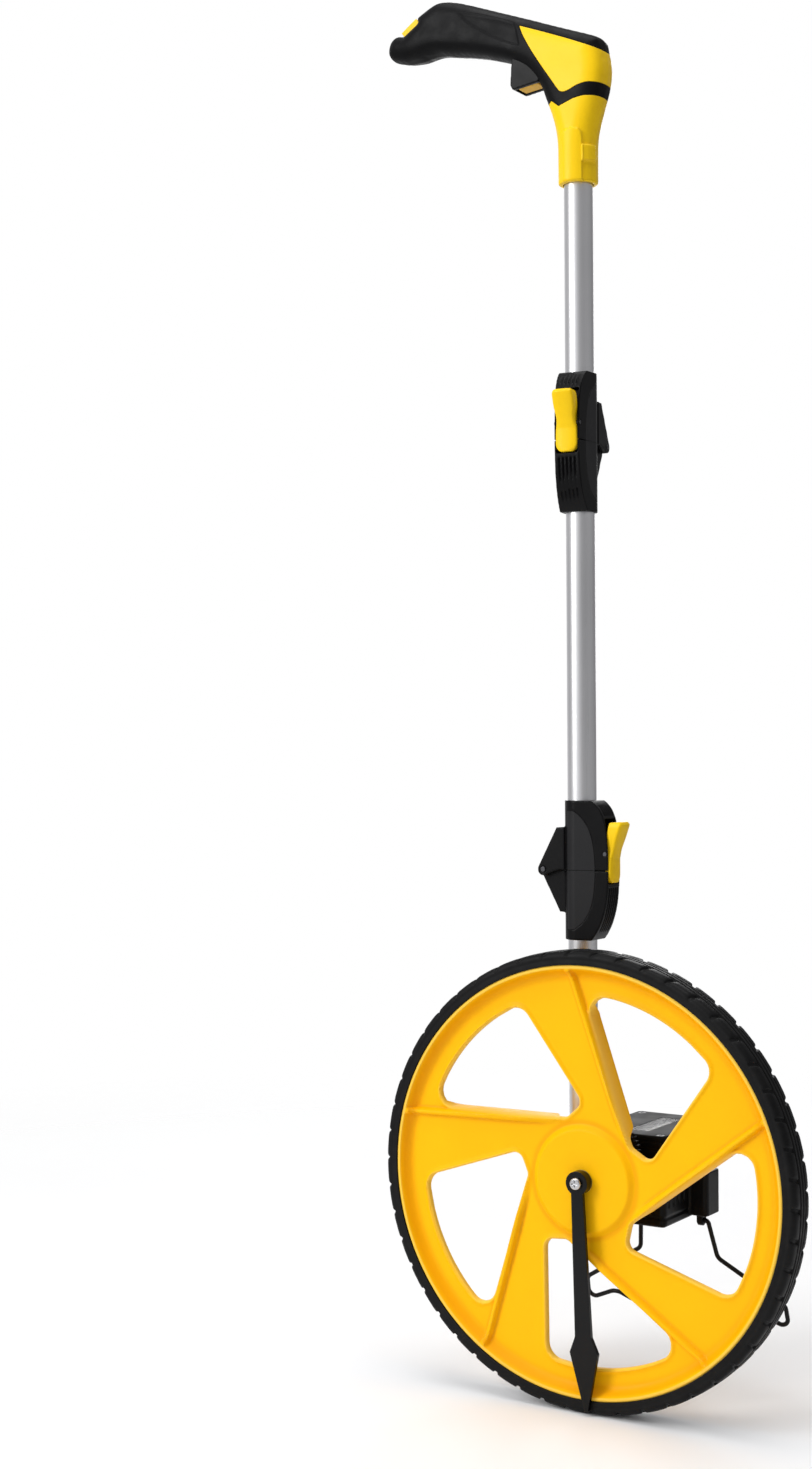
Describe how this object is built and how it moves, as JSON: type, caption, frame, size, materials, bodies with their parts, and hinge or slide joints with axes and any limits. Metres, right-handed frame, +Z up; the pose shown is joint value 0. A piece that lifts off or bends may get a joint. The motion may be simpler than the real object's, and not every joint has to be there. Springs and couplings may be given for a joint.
{
  "type": "measuring wheel",
  "caption": "Folding distance measuring wheel with a spoked wheel, start pointer, mechanical counter, wire kickstand, two-joint folding tube and pistol handle.",
  "frame": {"origin": "the point on the ground under the axle, at the tyre's middle plane", "axes": "+Z up, Y along the axle with -Y on the pointer side and +Y on the counter side, X the rolling direction"},
  "size_m": [0.3492, 0.1308, 1.0165],
  "materials": {
    "yellow_plastic": "satin moulded, fine mould texture",
    "black_plastic": "satin black nylon",
    "grey_panel": "matte dark grey",
    "tyre_rubber": "matte black rubber",
    "grip_rubber": "soft-touch black rubber",
    "tube_aluminium": "satin anodised",
    "plated_steel": "zinc plated",
    "black_wire": "black powder coat",
    "bush_bronze": "sintered bronze",
    "white_nylon": "moulded nylon",
    "clear_window": "clear acrylic"
  },
  "bodies": {
    "frame": {"lower_tube": "tube_aluminium", "counter_housing": "black_plastic", "counter_cover": "black_plastic", "counter_window": "clear_window", "cover_screws": "plated_steel", "axle": "plated_steel", "axle_nut": "plated_steel", "axle_circlip": "plated_steel", "pointer_screw": "plated_steel", "drum_shaft": "plated_steel", "transfer_shaft": "plated_steel", "lower_joint_lower_half": "black_plastic", "lower_joint_lower_panels": "grey_panel", "lower_joint_pin": "plated_steel"},
    "wheel": {"rim": "yellow_plastic", "wheel_hub": "yellow_plastic", "wheel_spokes": "yellow_plastic", "tyre": "tyre_rubber", "hub_bushes": "bush_bronze", "hub_gear": "white_nylon"},
    "pointer": {"pointer": "black_plastic"},
    "counter_input": {"counter_pinion": "white_nylon", "digit_drum_1": "white_nylon"},
    "drum_2": {"digit_drum_2": "white_nylon"},
    "drum_3": {"digit_drum_3": "white_nylon"},
    "drum_4": {"digit_drum_4": "white_nylon"},
    "drum_5": {"digit_drum_5": "white_nylon"},
    "transfer_pinions": {"transfer_pinions": "white_nylon"},
    "reset_button": {"reset_button": "black_plastic"},
    "kickstand": {"kickstand": "black_wire"},
    "middle": {"middle_tube": "tube_aluminium", "lower_joint_upper_half": "black_plastic", "lower_joint_upper_panels": "grey_panel", "lower_latch_pin": "plated_steel", "lower_latch_spring": "plated_steel", "upper_joint_lower_half": "black_plastic", "upper_joint_lower_panels": "grey_panel", "upper_joint_pin": "plated_steel"},
    "lower_latch": {"lower_latch_lever": "yellow_plastic"},
    "upper": {"upper_tube": "tube_aluminium", "upper_joint_upper_half": "black_plastic", "upper_joint_upper_panels": "grey_panel", "upper_latch_pin": "plated_steel", "upper_latch_spring": "plated_steel", "handle_front_half": "yellow_plastic", "handle_rear_half": "yellow_plastic", "grip_overmould": "grip_rubber", "trigger_guard": "black_plastic", "trigger_pin": "plated_steel", "trigger_spring": "plated_steel", "grip_end_inlay": "yellow_plastic", "handle_screws": "plated_steel"},
    "upper_latch": {"upper_latch_lever": "yellow_plastic"},
    "trigger": {"trigger": "yellow_plastic"}
  },
  "joints": [
    {"name": "wheel_spin", "type": "hinge", "parent": "frame", "child": "wheel", "pos_m": [0, 0, 0.15915], "axis": [0, 1, 0], "continuous": true},
    {"name": "pointer_swing", "type": "hinge", "parent": "frame", "child": "pointer", "pos_m": [0, -0.013, 0.15915], "axis": [0, 1, 0], "continuous": true},
    {"name": "units_drum_spin", "type": "hinge", "parent": "frame", "child": "counter_input", "pos_m": [0.019, 0.05, 0.17972], "axis": [0, 1, 0], "continuous": true},
    {"name": "drum_2_spin", "type": "hinge", "parent": "frame", "child": "drum_2", "pos_m": [0.019, 0.059, 0.17972], "axis": [0, 1, 0], "continuous": true},
    {"name": "drum_3_spin", "type": "hinge", "parent": "frame", "child": "drum_3", "pos_m": [0.019, 0.068, 0.17972], "axis": [0, 1, 0], "continuous": true},
    {"name": "drum_4_spin", "type": "hinge", "parent": "frame", "child": "drum_4", "pos_m": [0.019, 0.077, 0.17972], "axis": [0, 1, 0], "continuous": true},
    {"name": "drum_5_spin", "type": "hinge", "parent": "frame", "child": "drum_5", "pos_m": [0.019, 0.086, 0.17972], "axis": [0, 1, 0], "continuous": true},
    {"name": "transfer_spin", "type": "hinge", "parent": "frame", "child": "transfer_pinions", "pos_m": [0.019, 0.07, 0.16982], "axis": [0, 1, 0], "continuous": true},
    {"name": "reset_press", "type": "slide", "parent": "frame", "child": "reset_button", "axis": [-1, 0, 0], "range_m": [0, 0.003], "stiffness_N_per_m": 300, "springref_m": -0.003},
    {"name": "kickstand_swing", "type": "hinge", "parent": "frame", "child": "kickstand", "pos_m": [0.0276, 0.08, 0.1215], "axis": [1, 0, 0], "range_deg": [-15, 70]},
    {"name": "lower_fold", "type": "hinge", "parent": "frame", "child": "middle", "pos_m": [-0.0565, 0.052, 0.37], "axis": [0, -1, 0], "range_deg": [0, 180]},
    {"name": "upper_fold", "type": "hinge", "parent": "middle", "child": "upper", "pos_m": [-0.03277, 0.07835, 0.677], "axis": [-0.9945, -0.1045, 0], "range_deg": [0, 180]},
    {"name": "lower_latch_press", "type": "hinge", "parent": "middle", "child": "lower_latch", "pos_m": [-0.007, 0.052, 0.382], "axis": [0, -1, 0], "range_deg": [0, 10], "stiffness_Nm_per_rad": 0.4, "springref_deg": -11.46},
    {"name": "upper_latch_press", "type": "hinge", "parent": "upper", "child": "upper_latch", "pos_m": [-0.0276, 0.02913, 0.689], "axis": [-0.9945, -0.1045, 0], "range_deg": [0, 10], "stiffness_Nm_per_rad": 0.4, "springref_deg": -11.46},
    {"name": "trigger_press", "type": "hinge", "parent": "upper", "child": "trigger", "pos_m": [-0.061, 0.052, 0.9495], "axis": [0, 1, 0], "range_deg": [0, 10], "stiffness_Nm_per_rad": 0.3, "springref_deg": -11.46}
  ],
  "couplings": [
    {"joint": "units_drum_spin", "follows": "wheel_spin", "ratio": -1},
    {"joint": "drum_2_spin", "follows": "wheel_spin", "ratio": -0.1},
    {"joint": "drum_3_spin", "follows": "wheel_spin", "ratio": -0.01},
    {"joint": "drum_4_spin", "follows": "wheel_spin", "ratio": -0.001},
    {"joint": "drum_5_spin", "follows": "wheel_spin", "ratio": -0.0001},
    {"joint": "transfer_spin", "follows": "wheel_spin", "ratio": 0.25}
  ]
}
